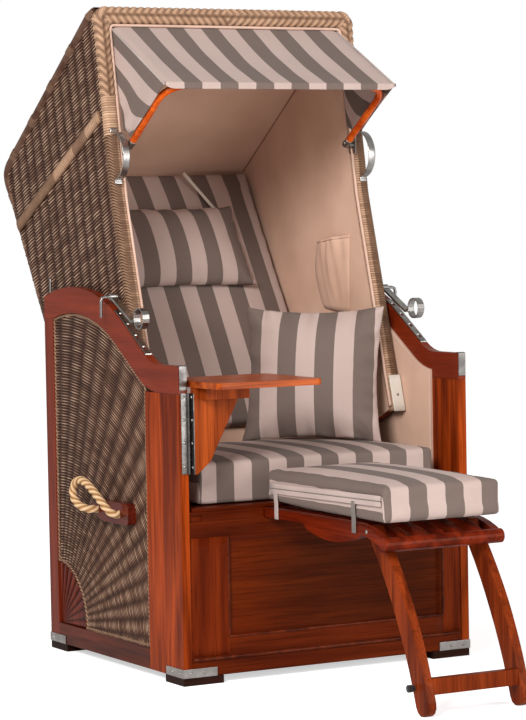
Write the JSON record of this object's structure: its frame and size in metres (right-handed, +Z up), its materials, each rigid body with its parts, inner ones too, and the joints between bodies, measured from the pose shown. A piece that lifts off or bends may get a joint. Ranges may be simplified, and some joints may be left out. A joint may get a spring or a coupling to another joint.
{
  "type": "hooded beach chair",
  "caption": "Hooded wicker beach chair for one: timber box base, tilting woven hood with awning, cushions, swing-out table and sliding footrest.",
  "frame": {"origin": "middle of the bounding box at floor level", "axes": "+X to the viewer's right when facing the chair, +Y to the chair's back, +Z up"},
  "size_m": [0.9304, 1.7052, 1.6307],
  "materials": {
    "mahogany": "stained, satin varnish",
    "dark_mahogany": "dark gloss varnish",
    "varnished_bow": "orange gloss varnish",
    "wicker": "woven strand",
    "braid": "braided strand",
    "lining_cloth": "plain cloth",
    "striped_cloth": "striped cloth",
    "steel": "satin",
    "rope_fibre": "twisted rope"
  },
  "bodies": {
    "base": {"left_post": "mahogany", "left_back_stile": "mahogany", "left_bottom_rail": "mahogany", "left_arm_rail": "mahogany", "left_corner_fan": "mahogany", "left_wicker_panel": "wicker", "left_inner_lining": "lining_cloth", "left_post_cap": "steel", "left_latch_rack": "steel", "left_rope_block": "dark_mahogany", "left_rope": "rope_fibre", "left_pivot_pin": "steel", "front_left_foot": "mahogany", "front_left_corner_bracket": "steel", "back_left_foot": "mahogany", "back_left_corner_bracket": "steel", "right_post": "mahogany", "right_back_stile": "mahogany", "right_bottom_rail": "mahogany", "right_arm_rail": "mahogany", "right_corner_fan": "mahogany", "right_wicker_panel": "wicker", "right_inner_lining": "lining_cloth", "right_post_cap": "steel", "right_latch_rack": "steel", "right_rope_block": "dark_mahogany", "right_rope": "rope_fibre", "right_pivot_pin": "steel", "front_right_foot": "mahogany", "front_right_corner_bracket": "steel", "back_right_foot": "mahogany", "back_right_corner_bracket": "steel", "front_board": "mahogany", "front_top_rail": "mahogany", "back_panel": "mahogany", "seat_board": "mahogany", "footrest_runner_frame": "mahogany", "seat_cushion": "striped_cloth", "throw_pillow": "striped_cloth", "table_hinge_leaf": "steel"},
    "hood": {"hood_wicker": "wicker", "hood_frame": "mahogany", "hood_lining": "lining_cloth", "hood_rim": "braid", "back_cushion": "striped_cloth", "head_pillow": "striped_cloth", "left_hand_ring": "steel", "left_awning_bracket": "steel", "right_hand_ring": "steel", "right_awning_bracket": "steel"},
    "awning": {"awning_bow": "varnished_bow", "awning_cover": "striped_cloth"},
    "left_latch": {"left_latch_arm": "steel"},
    "right_latch": {"right_latch_arm": "steel"},
    "side_table": {"table_moving_leaf": "steel", "table_bracket": "mahogany", "table_top": "mahogany"},
    "footrest": {"footrest_deck": "mahogany", "footrest_cushion": "striped_cloth"},
    "footrest_leg_pair": {"footrest_legs": "mahogany"}
  },
  "joints": [
    {"name": "hood_tilt", "type": "hinge", "parent": "base", "child": "hood", "pos_m": [0, 0.29489, 0.49], "axis": [-1, 0, 0], "range_deg": [-12, 10]},
    {"name": "awning_swing", "type": "hinge", "parent": "hood", "child": "awning", "pos_m": [0, 0.22789, 1.277], "axis": [-1, 0, 0], "range_deg": [-30, 50], "deforming": ["awning_cover"]},
    {"name": "left_latch_lift", "type": "hinge", "parent": "hood", "child": "left_latch", "pos_m": [-0.389, 0.17785, 0.909], "axis": [-1, 0, 0], "range_deg": [0, 35]},
    {"name": "right_latch_lift", "type": "hinge", "parent": "hood", "child": "right_latch", "pos_m": [0.389, 0.17785, 0.909], "axis": [-1, 0, 0], "range_deg": [0, 35]},
    {"name": "table_swing", "type": "hinge", "parent": "base", "child": "side_table", "pos_m": [-0.3777, -0.18461, 0.6], "axis": [0, 0, -1], "range_deg": [0, 90]},
    {"name": "footrest_slide", "type": "slide", "parent": "base", "child": "footrest", "axis": [0, 1, 0], "range_m": [-0.05, 0.05]},
    {"name": "leg_fold", "type": "hinge", "parent": "footrest", "child": "footrest_leg_pair", "pos_m": [-0.0175, -0.63711, 0.385], "axis": [1, 0, 0], "range_deg": [0, 90]}
  ]
}
